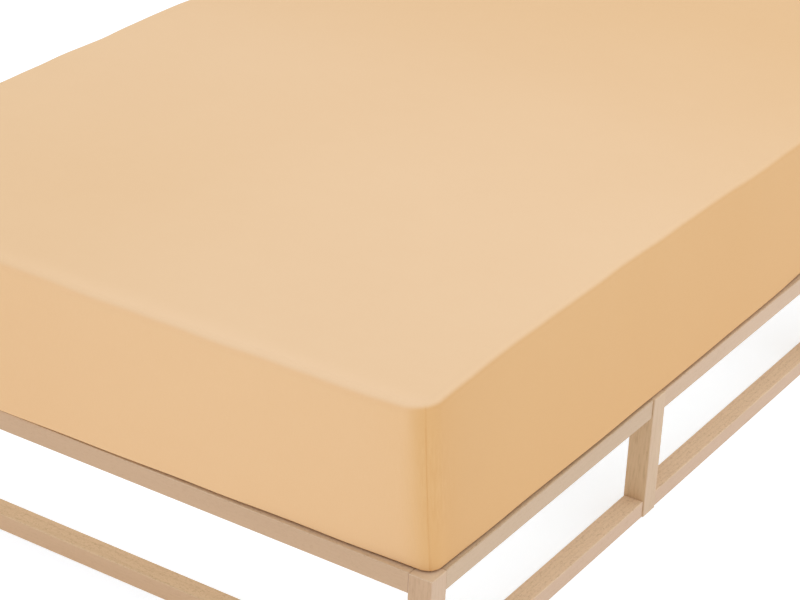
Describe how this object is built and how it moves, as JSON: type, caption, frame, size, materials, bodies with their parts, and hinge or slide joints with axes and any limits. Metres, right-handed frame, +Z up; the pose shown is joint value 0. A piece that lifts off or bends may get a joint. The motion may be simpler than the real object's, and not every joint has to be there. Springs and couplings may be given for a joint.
{
  "type": "fitted sheet on a mattress and bed frame",
  "caption": "Plain fitted sheet stretched tight over a deep mattress, with sewn corner darts and a hem drawn in beneath, on an open square-timber bed frame.",
  "frame": {"origin": "on the floor, under the middle of the bed frame", "axes": "-Y towards the foot end, +Y towards the head end, +X towards the right-hand long side seen from the foot end with the bed ahead, +Z up"},
  "size_m": [1.405, 2.2046, 0.5137],
  "materials": {
    "sheet": "plain apricot stretch knit, matt with a faint sheen",
    "ticking": "off-white woven mattress cover, matt",
    "timber": "pale straight-grained hardwood, clear matt finish"
  },
  "bodies": {
    "root": {"fitted_sheet": "sheet", "mattress": "ticking", "post_foot_right": "timber", "post_foot_left": "timber", "post_head_right": "timber", "post_head_left": "timber", "post_middle_foot_right": "timber", "post_middle_foot_left": "timber", "post_middle_head_right": "timber", "post_middle_head_left": "timber", "rail_top_right_foot": "timber", "rail_top_right_middle": "timber", "rail_top_right_head": "timber", "rail_top_left_foot": "timber", "rail_top_left_middle": "timber", "rail_top_left_head": "timber", "rail_top_foot": "timber", "rail_top_head": "timber", "rail_low_right_foot": "timber", "rail_low_right_middle": "timber", "rail_low_right_head": "timber", "rail_low_left_foot": "timber", "rail_low_left_middle": "timber", "rail_low_left_head": "timber", "rail_low_foot": "timber", "rail_low_head": "timber", "rail_cross_foot": "timber", "rail_cross_head": "timber", "ledger_right_foot": "timber", "ledger_left_foot": "timber", "slat_foot_1": "timber", "slat_foot_2": "timber", "slat_foot_3": "timber", "slat_foot_4": "timber", "ledger_right_middle": "timber", "ledger_left_middle": "timber", "slat_middle_1": "timber", "slat_middle_2": "timber", "slat_middle_3": "timber", "slat_middle_4": "timber", "ledger_right_head": "timber", "ledger_left_head": "timber", "slat_head_1": "timber", "slat_head_2": "timber", "slat_head_3": "timber", "slat_head_4": "timber"}
  },
  "joints": []
}
